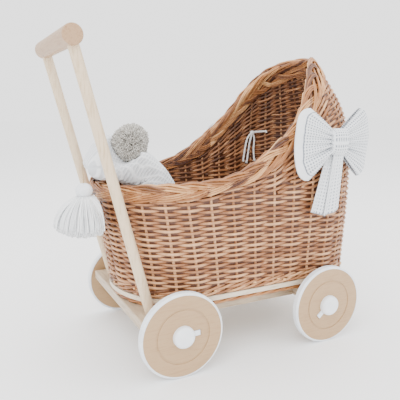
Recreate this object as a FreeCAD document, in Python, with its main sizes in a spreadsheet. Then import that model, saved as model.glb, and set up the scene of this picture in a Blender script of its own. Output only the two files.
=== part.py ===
import FreeCAD, Part
import Sketcher
import math
import os
from FreeCAD import Placement, Rotation, Vector

# Doll stroller: a wicker cradle with a hood on a low wooden chassis with four wheels.
# +X points to the hood, +Y to the stroller's left, +Z up. Millimetres.
# Sizes along X in the table are measured from the rear axle, and rear_axle_x places the axle.

doc = FreeCAD.newDocument("DollStroller")
sheet = doc.addObject("Spreadsheet::Sheet", "Sizes")

SIZES = {
    # chassis
    "rear_axle_x": -130.99, "wheelbase": 305.0, "axle_height": 75.0, "axle_radius": 4.0,
    "axle_half_length": 176.0, "board_thick": 18.0, "board_top": 103.0, "board_depth": 90.0,
    "board_half_length": 148.0, "rear_overhang": 64.0, "front_board_start": 260.0,
    "board_rounding": 2.5, "rail_outer": 115.0, "rail_width": 40.0,
    "bearer_depth": 44.0, "bearer_width": 36.0, "bearer_height": 20.0, "bearer_outer": 146.0,
    "spacer_radius": 9.0, "spacer_length": 9.8,
    "dowel_radius": 4.0, "dowel_length": 40.0, "dowel_inset": 10.0,
    "screw_radius": 2.0, "screw_head_radius": 4.0, "screw_head_depth": 2.5,
    "bearer_screw_length": 30.0, "bearer_screw_spread": 14.0,
    "base_screw_length": 30.0, "runner_width": 24.0, "runner_middle": 94.0,
    # handle
    "bar_radius": 15.8, "bar_half_length": 123.7, "bar_x": -149.4, "bar_height": 551.7,
    "bar_rounding": 2.0, "post_radius": 9.0, "post_half_spread": 107.2, "post_lean": 0.2511,
    "post_splay": 0.0122, "post_socket_rise": 4.0, "post_end_lift": 3.0,
    # wheels
    "wheel_radius": 75.0, "disc_radius": 71.0, "disc_thick": 13.0, "tyre_width": 14.0,
    "wheel_face": 169.4, "wheel_bore_radius": 4.06, "groove_radius": 45.5, "groove_width": 3.5,
    "groove_depth": 1.0, "tyre_rounding": 2.5, "cap_radius": 19.0, "cap_height": 11.0,
    "cap_edge": 4.0, "cap_bore_depth": 7.2, "key_length": 31.0, "key_width": 9.0,
    "key_depth": 1.6, "key_slot_length": 33.0, "key_slot_width": 11.0,
    # basket
    "foot_thick": 10.5, "base_thick": 8.0, "oval_end": 120.0, "foot_ring": 13.0,
    "foot_inset": 4.0, "wall_thick": 8.0, "wall_inset": 2.0, "rim_swell": 3.5,
    # soft goods
    "mattress_thick": 22.0, "mattress_gap": 3.0, "bow_x": 312.0, "bow_height": 386.0,
    "bow_offset": 164.0, "bow_thick": 12.0, "bow_wrap": 13.0, "knot_width": 36.0,
    "knot_height": 44.0, "knot_depth": 26.0, "knot_rounding": 8.0, "tail_thick": 6.0,
    "tie_x": 316.0, "tie_height": 388.0, "tie_offset": 132.0, "tie_cord_radius": 1.9,
    "tie_knot_radius": 5.5, "pillow_near": -62.0, "pillow_far": 72.0, "pillow_rounding": 7.0,
    "pillow_turn": 10.0, "pillow_turn_x": -35.0, "pillow_turn_y": -12.0, "dent_radius": 34.5,
    "pompom_x": -36.0, "pompom_y": -28.0, "pompom_height": 386.0, "pompom_radius": 34.0,
    "pompom_squash": 32.0,
    "tassel_x": -125.0, "tassel_y": -45.0, "tassel_hang": 341.0, "tassel_cord_radius": 1.5,
    "cord_in_bead": 3.0,
    "bead_radius": 14.5, "bead_half_height": 12.8, "bead_height": 310.5,
    "skirt_top_radius": 13.0, "skirt_bottom_radius": 50.0, "skirt_top": 297.0,
    "skirt_bottom": 229.0, "skirt_belly": 243.0, "skirt_flat": 22.0,
}

# The basket's outer surface: one oval for each height.
# columns: height, half width, rear end, where the front curve starts, front end
OVALS = [
    (113.5, 138.0, -68.0, 311.0, 431.0),
    (160.0, 139.5, -73.0, 312.0, 433.0),
    (230.0, 145.0, -84.0, 313.0, 435.0),
    (300.0, 149.0, -95.0, 314.0, 435.0),
    (350.0, 150.0, -98.0, 314.0, 433.0),
    (400.0, 147.0, -98.0, 311.0, 427.0),
    (449.0, 131.0, -98.0, 304.0, 414.0),
    (475.0, 119.0, -98.0, 297.0, 402.0),
    (497.0, 105.0, -98.0, 292.0, 390.0),
    (515.0, 91.0, -98.0, 290.0, 381.0),
    (530.0, 75.0, -98.0, 294.0, 375.0),
    (541.0, 57.0, -98.0, 303.0, 370.0),
    (550.0, 34.0, -98.0, 320.0, 366.0),
]
# Side view of the rim's free edge and of the line where the plaited rim meets the weave.
FREE_EDGE = [(-140, 312), (-98, 316), (-40, 324), (40, 327), (96, 332), (146, 353), (190, 384),
             (248, 438), (286, 497), (304, 520), (331, 541), (361, 550), (450, 561)]
WEAVE_EDGE = [(-140, 288), (-98, 290), (-40, 297), (40, 301), (97, 311), (136, 320), (176, 335),
              (225, 371), (283, 439), (313, 473), (334, 491), (378, 516), (450, 552)]

for row, (alias, value) in enumerate(SIZES.items(), start=1):
    sheet.set("A%d" % row, alias)
    sheet.set("B%d" % row, str(value))
    sheet.setAlias("B%d" % row, alias)
doc.recompute()


def size(alias):
    return float(sheet.get(alias))


def along(offset):
    """X in the model for a distance from the rear axle."""
    return size("rear_axle_x") + offset


kept = []


def keep(obj, label):
    obj.Label = label
    kept.append(obj)
    return obj


def drive(obj, **expressions):
    for name, text in expressions.items():
        path = {"x": "Placement.Base.x", "y": "Placement.Base.y", "z": "Placement.Base.z"}
        obj.setExpression(path.get(name, name), text)
    return obj


def primitive(kind, rotation=None, **expressions):
    obj = doc.addObject("Part::" + kind, kind)
    obj.Placement = Placement(Vector(), rotation or Rotation())
    return drive(obj, **expressions)


def cut(base, tools):
    obj = doc.addObject("Part::Cut", "Cut")
    obj.Base = base
    if len(tools) == 1:
        obj.Tool = tools[0]
    else:
        obj.Tool = fuse(tools)
    return obj


def fuse(pieces):
    obj = doc.addObject("Part::MultiFuse", "Fuse")
    obj.Shapes = pieces
    return obj


def group(pieces):
    obj = doc.addObject("Part::Compound", "Group")
    obj.Links = pieces
    return obj


def rounded(base, radius, pick=None):
    doc.recompute()
    obj = doc.addObject("Part::Fillet", "Rounded")
    obj.Base = base
    obj.Edges = [(i + 1, radius, radius) for i, edge in enumerate(base.Shape.Edges)
                 if pick is None or pick(edge)]
    return obj


def shaped(label, shape, centre=Vector()):
    obj = doc.addObject("Part::Feature", label)
    obj.Shape = shape
    obj.Placement = Placement(centre, Rotation())
    return keep(obj, label)


ALONG_Y = Rotation(Vector(1, 0, 0), -90)
ALONG_X = Rotation(Vector(0, 1, 0), 90)
SIDES = {"right": -1, "left": 1}

# ---------------------------------------------------------------- handle posts and bar
posts, post_bores = [], []
for side, sign in SIDES.items():
    lean = Vector(-size("post_lean"), -sign * size("post_splay"), 1)
    tilt = Rotation(Vector(0, 0, 1), lean)
    stretch = "sqrt(1 + Sizes.post_lean^2 + Sizes.post_splay^2)"
    for lift, store in (("Sizes.post_end_lift", posts), ("-20", post_bores)):
        drop = "(Sizes.bar_height - Sizes.board_top + Sizes.board_thick - %s)" % lift
        store.append(primitive(
            "Cylinder", tilt, Radius="Sizes.post_radius",
            Height="(%s + Sizes.post_socket_rise) * %s" % (drop, stretch),
            x="Sizes.rear_axle_x + Sizes.bar_x + Sizes.post_lean * %s" % drop,
            y="%d * (Sizes.post_half_spread + Sizes.post_splay * %s)" % (sign, drop),
            z="Sizes.bar_height - %s" % drop))
    keep(posts[-1], "handle_post_" + side)

bar = primitive("Cylinder", ALONG_Y, Radius="Sizes.bar_radius",
                Height="2 * Sizes.bar_half_length", x="Sizes.rear_axle_x + Sizes.bar_x",
                y="-Sizes.bar_half_length", z="Sizes.bar_height")
bar = rounded(bar, size("bar_rounding"), lambda edge: edge.Closed)
keep(cut(bar, posts), "handle_bar")


# ---------------------------------------------------------------- chassis
def screws(spots, top, length):
    """Countersunk screws pointing down, one solid for each spot."""
    made = []
    for x, y in spots:
        shank = primitive("Cylinder", Radius="Sizes.screw_radius", Height=length,
                          x=x, y=y, z="%s - %s" % (top, length))
        head = primitive("Cone", Radius1="Sizes.screw_radius", Radius2="Sizes.screw_head_radius",
                         Height="Sizes.screw_head_depth", x=x, y=y,
                         z="%s - Sizes.screw_head_depth" % top)
        made.append(fuse([shank, head]))
    return made


axle_x = {"rear": "Sizes.rear_axle_x", "front": "(Sizes.rear_axle_x + Sizes.wheelbase)"}
board_x = {"rear": "(Sizes.rear_axle_x - Sizes.rear_overhang)",
           "front": "(Sizes.rear_axle_x + Sizes.front_board_start)"}

bearer_spots = [("%s + %d * Sizes.bearer_screw_spread" % (axle_x[end], step),
                 "%d * (Sizes.bearer_outer - Sizes.bearer_width / 2)" % sign)
                for end in axle_x for sign in SIDES.values() for step in (-1, 1)]
bearer_screws = screws(bearer_spots, "Sizes.board_top", "Sizes.bearer_screw_length")
keep(group(bearer_screws), "bearer_screws")

dowels = []
for joint in ("Sizes.rear_axle_x - Sizes.rear_overhang + Sizes.board_depth",
              "Sizes.rear_axle_x + Sizes.front_board_start"):
    for sign in SIDES.values():
        for inset in ("Sizes.dowel_inset", "(Sizes.rail_width - Sizes.dowel_inset)"):
            dowels.append(primitive(
                "Cylinder", ALONG_X, Radius="Sizes.dowel_radius", Height="Sizes.dowel_length",
                x="%s - Sizes.dowel_length / 2" % joint,
                y="%d * (Sizes.rail_outer - %s)" % (sign, inset),
                z="Sizes.board_top - Sizes.board_thick / 2"))
keep(group(dowels), "frame_dowels")

for end in ("rear", "front"):
    board = primitive("Box", Length="Sizes.board_depth", Width="2 * Sizes.board_half_length",
                      Height="Sizes.board_thick", x=board_x[end],
                      y="-Sizes.board_half_length", z="Sizes.board_top - Sizes.board_thick")
    board = rounded(board, size("board_rounding"))
    keep(cut(board, dowels + bearer_screws + (post_bores if end == "rear" else [])),
         end + "_cross_board")

base_spots = [("Sizes.rear_axle_x + %d" % x, "%d * Sizes.runner_middle" % sign)
              for x in (60, 145, 230) for sign in SIDES.values()]
base_top = "(Sizes.board_top + Sizes.foot_thick + Sizes.base_thick)"
base_screws = screws(base_spots, base_top, "Sizes.base_screw_length")
keep(group(base_screws), "base_screws")

for side, sign in SIDES.items():
    low_y = "Sizes.rail_outer - Sizes.rail_width" if sign > 0 else "-Sizes.rail_outer"
    rail = primitive(
        "Box", Length="Sizes.front_board_start + Sizes.rear_overhang - Sizes.board_depth",
        Width="Sizes.rail_width", Height="Sizes.board_thick",
        x="Sizes.rear_axle_x - Sizes.rear_overhang + Sizes.board_depth",
        y=low_y, z="Sizes.board_top - Sizes.board_thick")
    keep(cut(rail, dowels + base_screws), "rail_" + side)
    runner = primitive(
        "Box", Length="Sizes.front_board_start - 34", Width="Sizes.runner_width",
        Height="Sizes.foot_thick", x="Sizes.rear_axle_x + 30",
        y="%d * Sizes.runner_middle - Sizes.runner_width / 2" % sign, z="Sizes.board_top")
    keep(cut(runner, base_screws), "runner_" + side)

for end in ("rear", "front"):
    axle = primitive("Cylinder", ALONG_Y, Radius="Sizes.axle_radius",
                     Height="2 * Sizes.axle_half_length", x=axle_x[end],
                     y="-Sizes.axle_half_length", z="Sizes.axle_height")
    keep(axle, end + "_axle")
    rings = []
    for side, sign in SIDES.items():
        low_y = ("Sizes.bearer_outer - Sizes.bearer_width" if sign > 0
                 else "-Sizes.bearer_outer")
        block = primitive("Box", Length="Sizes.bearer_depth", Width="Sizes.bearer_width",
                          Height="Sizes.bearer_height",
                          x="%s - Sizes.bearer_depth / 2" % axle_x[end], y=low_y,
                          z="Sizes.board_top - Sizes.board_thick - Sizes.bearer_height")
        keep(cut(block, [axle] + bearer_screws), "%s_bearer_%s" % (end, side))
        low_y = "Sizes.bearer_outer" if sign > 0 else "-Sizes.bearer_outer - Sizes.spacer_length"
        rings.append(primitive("Cylinder", ALONG_Y, Radius="Sizes.spacer_radius",
                               Height="Sizes.spacer_length", x=axle_x[end], y=low_y,
                               z="Sizes.axle_height"))
    keep(group([cut(ring, [axle]) for ring in rings]), end + "_axle_spacers")


# ---------------------------------------------------------------- wheels
def turned(outline):
    """A PartDesign body turned about its own Z axis from (radius, height) expressions."""
    body = doc.addObject("PartDesign::Body", "Turned")
    plane = [f for f in body.Origin.OriginFeatures if f.Role == "XZ_Plane"][0]
    axis = [f for f in body.Origin.OriginFeatures if f.Role == "Z_Axis"][0]
    sketch = body.newObject("Sketcher::SketchObject", "Outline")
    sketch.AttachmentSupport = [(plane, "")]
    sketch.MapMode = "FlatFace"
    count = len(outline)
    for i in range(count):
        a, b = outline[i][2], outline[(i + 1) % count][2]
        sketch.addGeometry(Part.LineSegment(Vector(*a, 0), Vector(*b, 0)), False)
    for i in range(count):
        sketch.addConstraint(Sketcher.Constraint("Coincident", i, 2, (i + 1) % count, 1))
    for i, (radius, height, start) in enumerate(outline):
        for kind, text, value in (("DistanceX", radius, start[0]), ("DistanceY", height, start[1])):
            number = sketch.addConstraint(Sketcher.Constraint(kind, -1, 1, i, 1, value))
            sketch.setExpression("Constraints[%d]" % number, text)
    turn = body.newObject("PartDesign::Revolution", "Turn")
    turn.Profile = sketch
    turn.ReferenceAxis = (axis, [""])
    turn.Angle = 360.0
    body.Tip = turn
    return body


def profile(*corners):
    """Corners as (radius, height) expressions with their present values."""
    return [(radius, height, (float(sheet.evalExpression(radius)),
                              float(sheet.evalExpression(height))))
            for radius, height in corners]


# The disc lies between height -disc_thick and 0; its outer face is at height 0.
DISC = profile(
    ("Sizes.wheel_bore_radius", "-Sizes.disc_thick"),
    ("Sizes.groove_radius", "-Sizes.disc_thick"),
    ("Sizes.groove_radius", "Sizes.groove_depth - Sizes.disc_thick"),
    ("Sizes.groove_radius + Sizes.groove_width", "Sizes.groove_depth - Sizes.disc_thick"),
    ("Sizes.groove_radius + Sizes.groove_width", "-Sizes.disc_thick"),
    ("Sizes.disc_radius", "-Sizes.disc_thick"),
    ("Sizes.disc_radius", "0"),
    ("Sizes.groove_radius + Sizes.groove_width", "0"),
    ("Sizes.groove_radius + Sizes.groove_width", "-Sizes.groove_depth"),
    ("Sizes.groove_radius", "-Sizes.groove_depth"),
    ("Sizes.groove_radius", "0"),
    ("Sizes.wheel_bore_radius", "0"))
TYRE = profile(
    ("Sizes.disc_radius", "0.5 - Sizes.tyre_width"),
    ("Sizes.wheel_radius - Sizes.tyre_rounding", "0.5 - Sizes.tyre_width"),
    ("Sizes.wheel_radius", "0.5 - Sizes.tyre_width + Sizes.tyre_rounding"),
    ("Sizes.wheel_radius", "0.5 - Sizes.tyre_rounding"),
    ("Sizes.wheel_radius - Sizes.tyre_rounding", "0.5"),
    ("Sizes.disc_radius", "0.5"))

# The key slot beside the cap sits at a different turn on each wheel, in degrees.
WHEELS = {"rear_right": ("rear", -1, 3.0), "rear_left": ("rear", 1, 70.0),
          "front_right": ("front", -1, 222.0), "front_left": ("front", 1, 150.0)}
for name, (end, sign, turn_angle) in WHEELS.items():
    facing = Rotation(Vector(1, 0, 0), 90) if sign < 0 else Rotation(Vector(1, 0, 0), -90)
    facing = Rotation(Vector(0, 1, 0), -turn_angle).multiply(facing)
    place = dict(x=axle_x[end], y="%d * Sizes.wheel_face" % sign, z="Sizes.axle_height")
    disc, tyre = turned(DISC), turned(TYRE)
    for piece in (disc, tyre):
        piece.Placement = Placement(Vector(), facing)
        drive(piece, **place)
    slot = primitive("Box", Length="Sizes.key_slot_length", Width="Sizes.key_slot_width",
                     Height="2 * Sizes.key_depth")
    key = primitive("Box", Length="Sizes.key_length", Width="Sizes.key_width",
                    Height="Sizes.key_depth + 0.8")
    dome = primitive("Cylinder", Radius="Sizes.cap_radius", Height="Sizes.cap_height")
    dome = rounded(dome, size("cap_height") - size("cap_edge"),
                   lambda edge: edge.Closed and edge.BoundBox.ZMin > 1)
    hole = primitive("Cylinder", Radius="Sizes.wheel_bore_radius", Height="Sizes.cap_bore_depth")
    slot.Placement = Placement(Vector(0, -size("key_slot_width") / 2, -size("key_depth")), Rotation())
    key.Placement = Placement(Vector(0, -size("key_width") / 2, -size("key_depth")), Rotation())
    cap = cut(fuse([dome, key]), [hole])
    # the slot and the bored cap are made about the wheel's own axis, then placed
    tube = primitive("Cylinder", Radius="Sizes.wheel_bore_radius", Height="4 * Sizes.key_depth")
    tube.Placement = Placement(Vector(0, 0, -2 * size("key_depth")), Rotation())
    cap = cut(cap, [tube])
    hub = Vector(along(0 if end == "rear" else size("wheelbase")),
                 sign * size("wheel_face"), size("axle_height"))
    for piece in (slot, cap):
        piece.Placement = Placement(hub, facing).multiply(piece.Placement)
    keep(cut(disc, [slot]), "wheel_disc_" + name)
    keep(tyre, "tyre_" + name)
    keep(cap, "hub_cap_" + name)


# ---------------------------------------------------------------- basket
def oval(height, half_width, rear, front_start, front, steps=10):
    """A closed oval: half ellipses at the rear and front, joined by straight sides."""
    rear_centre = rear + size("oval_end")
    spots = []
    for i in range(-steps, steps + 1):
        angle = math.pi / 2 * i / steps
        spots.append(Vector(along(front_start + (front - front_start) * math.cos(angle)),
                            half_width * math.sin(angle), height))
    for i in range(1, 5):
        spots.append(Vector(along(front_start + (rear_centre - front_start) * i / 5.0),
                            half_width, height))
    for i in range(-steps, steps + 1):
        angle = math.pi / 2 * i / steps
        spots.append(Vector(along(rear_centre - size("oval_end") * math.cos(angle)),
                            -half_width * math.sin(angle), height))
    for i in range(1, 5):
        spots.append(Vector(along(rear_centre + (front_start - rear_centre) * i / 5.0),
                            -half_width, height))
    curve = Part.BSplineCurve()
    curve.interpolate(Points=spots, PeriodicFlag=True)
    return Part.Wire(curve.toShape())


def oval_plate(inset, low, high):
    _, half_width, rear, front_start, front = OVALS[0]
    outline = oval(low, half_width - inset, rear + inset, front_start, front - inset)
    return Part.Face(outline).extrude(Vector(0, 0, high - low))


def bowl(outward):
    """The basket's outer surface as a solid, moved outward (or inward, if negative)."""
    rings = []
    for height, half_width, rear, front_start, front in OVALS:
        lift = outward * min(1.0, max(0.0, (height - 350.0) / 150.0))
        rings.append(oval(height + lift, half_width + outward, rear - outward, front_start,
                          front + outward))
    return Part.makeLoft(rings, True, False)


def below(edge, low, high):
    """The space under a side-view line, across the whole width."""
    curve = Part.BSplineCurve()
    curve.interpolate(Points=[Vector(along(x), -250, z) for x, z in edge])
    left, right = Vector(along(edge[0][0]), -250, low), Vector(along(edge[-1][0]), -250, low)
    sides = [curve.toShape(), Part.makeLine(curve.EndPoint, right), Part.makeLine(right, left),
             Part.makeLine(left, curve.StartPoint)]
    return Part.Face(Part.Wire(sides)).extrude(Vector(0, high, 0))


foot_low = size("board_top")
base_low = foot_low + size("foot_thick")
wall_low = base_low + size("base_thick")
base = oval_plate(0, base_low, wall_low)
screw_shapes = group(base_screws)
doc.recompute()
shaped("base_board", base.cut(screw_shapes.Shape))
foot = oval_plate(size("foot_inset"), foot_low, base_low)
foot = foot.cut(oval_plate(size("foot_inset") + size("foot_ring"), foot_low - 1, base_low + 1))
shaped("foot_border", foot)

floor_cut = Part.makeBox(900, 500, 300, Vector(-450, -250, wall_low - 300))
wall_out, wall_in = -size("wall_inset"), -size("wall_inset") - size("wall_thick")
under_weave = below(WEAVE_EDGE, 90, 500)
wall = bowl(wall_out).cut(bowl(wall_in)).common(under_weave).cut(floor_cut)
shaped("basket_wall", wall)
swell = size("rim_swell")
rim = bowl(wall_out + swell).cut(bowl(wall_in - swell))
rim = rim.common(below(FREE_EDGE, 90, 500)).cut(under_weave)
shaped("rim_border", rim)

mattress = oval_plate(-wall_in + size("mattress_gap"), wall_low, wall_low + size("mattress_thick"))
shaped("mattress", mattress)


# ---------------------------------------------------------------- bows and their ties
def slab(outline, thick):
    """A flat cloth shape in the XZ plane, thick along Y and centred on it."""
    spots = [Vector(x, -thick / 2, z) for x, z in outline]
    return Part.Face(Part.makePolygon(spots + spots[:1])).extrude(Vector(0, thick, 0))


def cord_tube(points, radius):
    """A tube of straight runs and tangent arcs through the points; returns solid and length."""
    edges, last, radii = [], points[0], []
    for before, corner, after in zip(points, points[1:], points[2:]):
        a, b = corner.sub(before), after.sub(corner)
        turn = a.getAngle(b)
        run = min(a.Length, b.Length)
        reach = 0.45 * run
        radii.append(reach / math.tan(turn / 2))
        start = corner.sub(Vector(a).normalize().multiply(reach))
        end = corner.add(Vector(b).normalize().multiply(reach))
        bisect = Vector(b).normalize().sub(Vector(a).normalize()).normalize()
        centre = corner.add(bisect.multiply(radii[-1] / math.cos(turn / 2)))
        middle = centre.add(corner.sub(centre).normalize().multiply(radii[-1]))
        edges += [Part.makeLine(last, start), Part.Arc(start, middle, end).toShape()]
        last = end
    edges.append(Part.makeLine(last, points[-1]))
    path = Part.Wire(edges)
    circle = Part.Wire(Part.makeCircle(radius, points[0], points[1].sub(points[0])))
    solid = path.makePipeShell([circle], True, False)
    print("cord length %.1f, radii %s, volume ratio %.3f" % (
        path.Length, [round(r, 1) for r in radii],
        solid.Volume / (math.pi * radius ** 2 * path.Length)))
    return solid


# Half of the bow from the wrap outwards, and the two tails, as (x, z) from the knot.
BOW_HALF = [(8, -16), (30, -36), (56, -62), (68, -60), (80, -42), (91, -14), (94, 6), (88, 32),
            (76, 52), (62, 66), (48, 58), (28, 32), (8, 16)]
TAILS = {"rear": (5.0, [(-16, -10), (6, -10), (-22, -136), (-50, -128)]),
         "front": (-3.0, [(-6, -10), (14, -10), (8, -126), (-24, -136)])}
TIE_TAILS = {"1": [(0, 0), (-9, -6), (-15, -20), (-18, -38), (-21, -63)],
             "2": [(0, 0), (-2, -9), (-6, -22), (-8, -42), (-11, -67)],
             "3": [(0, 0), (5, -7), (7, -20), (5, -40), (9, -63)]}

for side, sign in SIDES.items():
    centre = Vector(along(size("bow_x")), sign * size("bow_offset"), size("bow_height"))
    rear_half = slab([(-x, z) for x, z in BOW_HALF], size("bow_thick"))
    front_half = slab(BOW_HALF, size("bow_thick"))
    front_half.rotate(Vector(), Vector(0, 0, 1), -sign * size("bow_wrap"))
    middle = Part.makeBox(24, size("bow_thick"), 30, Vector(-12, -size("bow_thick") / 2, -15))
    knot = Part.makeBox(size("knot_width"), size("knot_depth"), size("knot_height"),
                        Vector(-size("knot_width") / 2, -size("knot_depth") / 2,
                               -size("knot_height") / 2))
    knot = knot.makeFillet(size("knot_rounding"), knot.Edges)
    panel = rear_half.fuse([front_half, middle]).removeSplitter()
    tails = []
    for gap, outline in TAILS.values():
        tail = slab(outline, size("tail_thick"))
        tail.translate(Vector(0, -sign * gap, 0))
        tails.append(tail)
    knot_solid = knot.cut(panel).cut(tails[0]).cut(tails[1])
    knot_solid = max(knot_solid.Solids, key=lambda solid: solid.Volume)
    tails = [tail.cut(panel) for tail in tails]
    for label, shape in (("bow_%s" % side, panel), ("bow_%s_knot" % side, knot_solid),
                         ("bow_%s_tail_rear" % side, tails[0]),
                         ("bow_%s_tail_front" % side, tails[1])):
        shaped(label, shape, centre)

    tie = Vector(along(size("tie_x")), sign * size("tie_offset"), size("tie_height"))
    strand = [tie, tie.add(Vector(12, -0.6 * sign, 1.2)), tie.add(Vector(23, -3.5 * sign, 2.2)),
              tie.add(Vector(33, -8 * sign, 2.0))]
    # The ball's poles lie on the strand, so that its seam doesn't cross where the two join.
    knot_ball = Part.makeSphere(size("tie_knot_radius"), tie, strand[1].sub(tie))
    end_knot = Part.makeSphere(size("tie_cord_radius") * 1.6, strand[-1])
    strand = cord_tube(strand, size("tie_cord_radius") * 1.35)
    shaped("tie_%s_knot" % side, knot_ball.fuse([strand, end_knot]))
    for number, route in TIE_TAILS.items():
        points = [tie.add(Vector(x, sign * 0.06 * -z, z)) for x, z in route]
        tail = cord_tube(points, size("tie_cord_radius")).cut(knot_ball)
        shaped("tie_%s_tail_%s" % (side, number), tail)

# ---------------------------------------------------------------- pillow with pompom
# Side view of the pillow, before it is turned a little about the upright: it stands in the
# basket and rests over the rear rim.
PILLOW = [(-114, 334), (-112, 350), (-94, 380), (-74, 400), (-46, 396), (-12, 376), (24, 342),
          (44, 312), (44, 190), (-22, 190), (-24, 331), (-92, 328)]
outline = Part.makePolygon([Vector(along(x), size("pillow_near"), z)
                            for x, z in PILLOW + PILLOW[:1]])
soft_corner = size("pillow_rounding")
outline = Part.Face(outline).makeOffset2D(-soft_corner).makeOffset2D(soft_corner)
pillow = outline.extrude(Vector(0, size("pillow_far") - size("pillow_near"), 0))
pompom = primitive("Ellipsoid", Radius1="Sizes.pompom_squash", Radius2="Sizes.pompom_radius",
                   Radius3="Sizes.pompom_radius", x="Sizes.rear_axle_x + Sizes.pompom_x",
                   y="Sizes.pompom_y", z="Sizes.pompom_height")
keep(pompom, "pompom")
doc.recompute()
pillow.rotate(Vector(along(size("pillow_turn_x")), size("pillow_turn_y"), 0), Vector(0, 0, 1),
              -size("pillow_turn"))
# The pompom rests in a dent that opens to the stroller's right and a little to the rear.
dent = Part.makeCylinder(size("dent_radius"), 150, pompom.Shape.BoundBox.Center,
                         Vector(-0.32, -0.95, 0.07))
shaped("pillow", pillow.cut([pompom.Shape, dent]))

# ---------------------------------------------------------------- tassel
tassel_place = dict(x="Sizes.rear_axle_x + Sizes.tassel_x", y="Sizes.tassel_y")
cord = primitive("Cylinder", Radius="Sizes.tassel_cord_radius",
                 Height="Sizes.tassel_hang - Sizes.bead_height + Sizes.cord_in_bead",
                 z="Sizes.bead_height - Sizes.cord_in_bead", **tassel_place)
keep(cord, "tassel_cord")
bead = primitive("Ellipsoid", Radius1="Sizes.bead_half_height", Radius2="Sizes.bead_radius",
                 Radius3="Sizes.bead_radius", z="Sizes.bead_height", **tassel_place)
keep(cut(bead, [cord]), "tassel_bead")
skirt = turned(profile(("0", "Sizes.skirt_bottom"),
                       ("Sizes.skirt_bottom_radius - 8", "Sizes.skirt_bottom"),
                       ("Sizes.skirt_bottom_radius", "Sizes.skirt_belly"),
                       ("Sizes.skirt_top_radius", "Sizes.skirt_top"), ("0", "Sizes.skirt_top")))
drive(skirt, **tassel_place)
flat = primitive("Box", Length="100", Width="200", Height="120",
                 x="Sizes.rear_axle_x + Sizes.tassel_x + Sizes.skirt_flat",
                 y="Sizes.tassel_y - 100", z="Sizes.skirt_bottom - 20")
keep(cut(skirt, [flat, bead]), "tassel_skirt")

# ---------------------------------------------------------------- check and write
doc.recompute()
for obj in doc.Objects:
    if "Invalid" in obj.State or "Error" in obj.State:
        raise RuntimeError("%s did not build: %s" % (obj.Label, obj.State))
os.makedirs("parts", exist_ok=True)
box = FreeCAD.BoundBox()
for obj in kept:
    if obj.Shape.isNull() or not obj.Shape.isValid() or not obj.Shape.Solids:
        raise RuntimeError(obj.Label + " has no valid solid")
    box.add(obj.Shape.BoundBox)
    obj.Shape.exportStep("parts/%s.step" % obj.Label)
print(len(kept), "pieces, box", box)
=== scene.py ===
import math
import bpy
import numpy as np
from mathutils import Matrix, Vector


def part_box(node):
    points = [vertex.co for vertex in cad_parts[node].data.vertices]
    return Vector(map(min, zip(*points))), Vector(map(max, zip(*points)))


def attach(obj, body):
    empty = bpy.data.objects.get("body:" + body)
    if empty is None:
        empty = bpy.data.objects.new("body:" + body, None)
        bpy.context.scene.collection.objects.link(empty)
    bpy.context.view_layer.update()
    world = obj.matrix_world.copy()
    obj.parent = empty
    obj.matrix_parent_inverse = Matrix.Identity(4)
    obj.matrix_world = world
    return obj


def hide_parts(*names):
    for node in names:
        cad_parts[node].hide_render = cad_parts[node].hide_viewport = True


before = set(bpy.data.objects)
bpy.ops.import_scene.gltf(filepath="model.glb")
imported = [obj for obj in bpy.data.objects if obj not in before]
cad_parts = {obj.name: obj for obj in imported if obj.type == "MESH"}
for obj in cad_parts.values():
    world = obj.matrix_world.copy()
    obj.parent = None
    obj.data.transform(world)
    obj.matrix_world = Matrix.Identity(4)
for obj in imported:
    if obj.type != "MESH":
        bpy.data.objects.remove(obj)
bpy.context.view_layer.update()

# Doll stroller: the looks. Lengths below are millimetres; mesh_piece turns them into metres.
# X is counted from the rear axle, as in the part's source, and AXLE_X moves it to the frame.
MM = 0.001
rng = np.random.default_rng(7)
axle_low, axle_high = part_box("rear_axle")
AXLE_X = (axle_low.x + axle_high.x) / 2 / MM
SIDES = {"right": -1, "left": 1}


def to_frame(points):
    return (np.asarray(points, float) + [AXLE_X, 0, 0]) * MM


# ---------------------------------------------------------------- camera, light and floor
FLOOR_HALF = 14.0    # metres


def make_stage():
    lens = bpy.data.cameras.new("camera")
    lens.lens, lens.sensor_width, lens.clip_start = 45.26, 36.0, 0.05
    camera = bpy.data.objects.new("camera", lens)
    camera.location = (AXLE_X * MM - 0.31918, -0.87647, 0.45211)
    camera.rotation_euler = (math.radians(79.26), 0, math.radians(-26.32))
    bpy.context.scene.collection.objects.link(camera)
    bpy.context.scene.camera = camera

    for name, place, turn, watts, width in (("key", (-1.4, -1.5, 2.1), (42, 0, -43), 44, 1.4),
                                            ("fill", (1.7, -1.3, 1.3), (62, 0, 52), 14, 1.8),
                                            ("top", (0.1, 0.5, 2.4), (-12, 0, 0), 30, 2.4)):
        light = bpy.data.lights.new(name, "AREA")
        light.energy, light.size = watts, width
        lamp = bpy.data.objects.new(name, light)
        lamp.location, lamp.rotation_euler = place, [math.radians(a) for a in turn]
        bpy.context.scene.collection.objects.link(lamp)
    world = bpy.data.worlds.new("studio")
    bpy.context.scene.world = world
    world.use_nodes = True
    world.node_tree.nodes["Background"].inputs["Color"].default_value = (1, 1, 1, 1)
    world.node_tree.nodes["Background"].inputs["Strength"].default_value = 2.3

    half = FLOOR_HALF
    mesh = bpy.data.meshes.new("floor")
    mesh.from_pydata([(-half, -half, 0), (half, -half, 0), (half, half, 0), (-half, half, 0)],
                     [], [(0, 1, 2, 3)])
    floor = bpy.data.objects.new("floor", mesh)
    bpy.context.scene.collection.objects.link(floor)
    look = bpy.data.materials.new("floor_white")
    look.use_nodes = True
    look.node_tree.nodes["Principled BSDF"].inputs["Base Color"].default_value = (0.97, 0.97, 0.97, 1)
    look.node_tree.nodes["Principled BSDF"].inputs["Roughness"].default_value = 0.9
    mesh.materials.append(look)


make_stage()


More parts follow.
